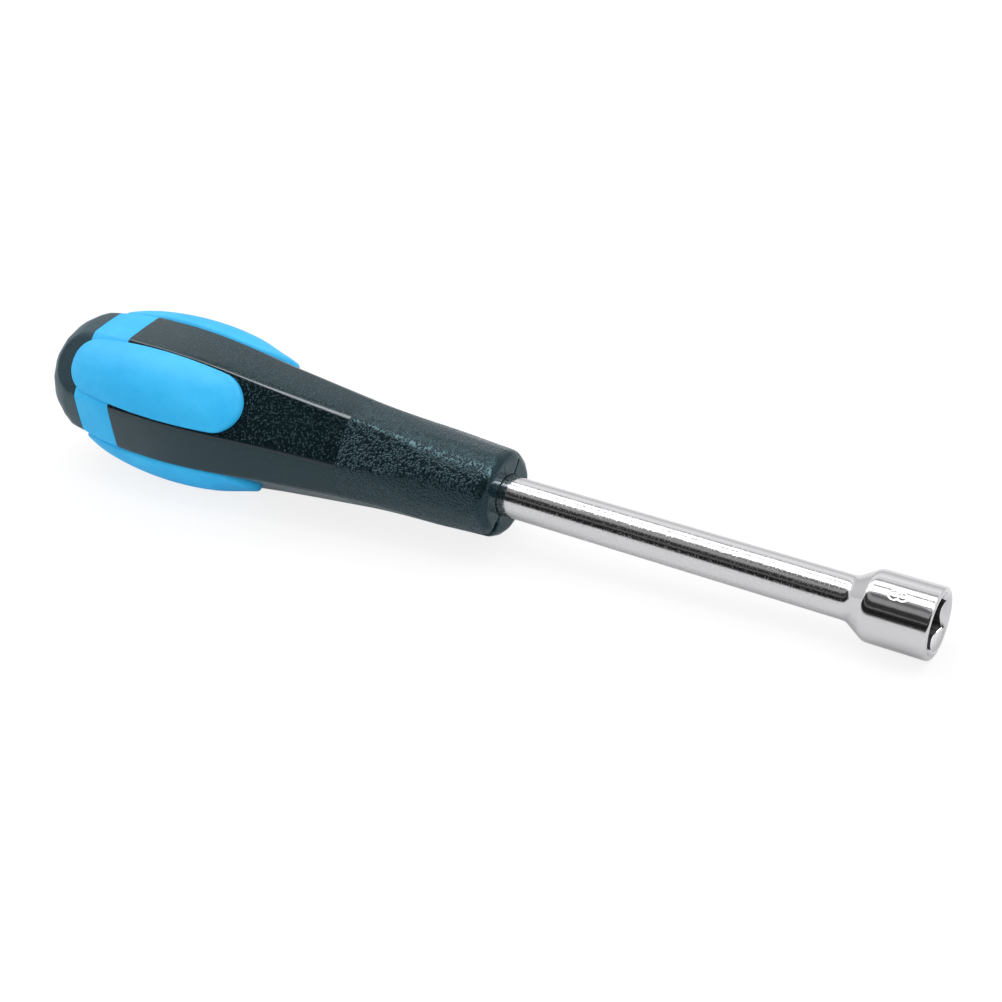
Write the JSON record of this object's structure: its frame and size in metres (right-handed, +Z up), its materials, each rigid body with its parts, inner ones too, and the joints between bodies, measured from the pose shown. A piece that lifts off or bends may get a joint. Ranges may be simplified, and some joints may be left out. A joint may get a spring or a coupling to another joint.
{
  "type": "nut driver",
  "caption": "Nut driver with a forged hex socket on a round shank and a black moulded handle with raised blue soft grip pads joined by a ring.",
  "frame": {"origin": "centre of the socket's mouth, on the tool's axis", "axes": "+X along the tool's axis, out of the socket's mouth; +Z up with the driver lying down; the pads face the diagonals between Y and Z"},
  "size_m": [0.185, 0.0296, 0.0296],
  "materials": {
    "chrome_steel": "polished bright chrome plating on forged steel",
    "core_plastic": "plain moulded hard plastic, not seen",
    "grained_black": "black moulded plastic with a coarse sparkling grain",
    "satin_black": "black moulded plastic with a fine satin grain",
    "soft_blue": "sky-blue soft moulded elastomer, smooth and matt"
  },
  "bodies": {
    "root": {"blade": "chrome_steel", "inner_core": "core_plastic", "front_sleeve": "grained_black", "handle_body": "satin_black", "soft_grip": "soft_blue", "butt_cap": "satin_black"}
  },
  "joints": []
}
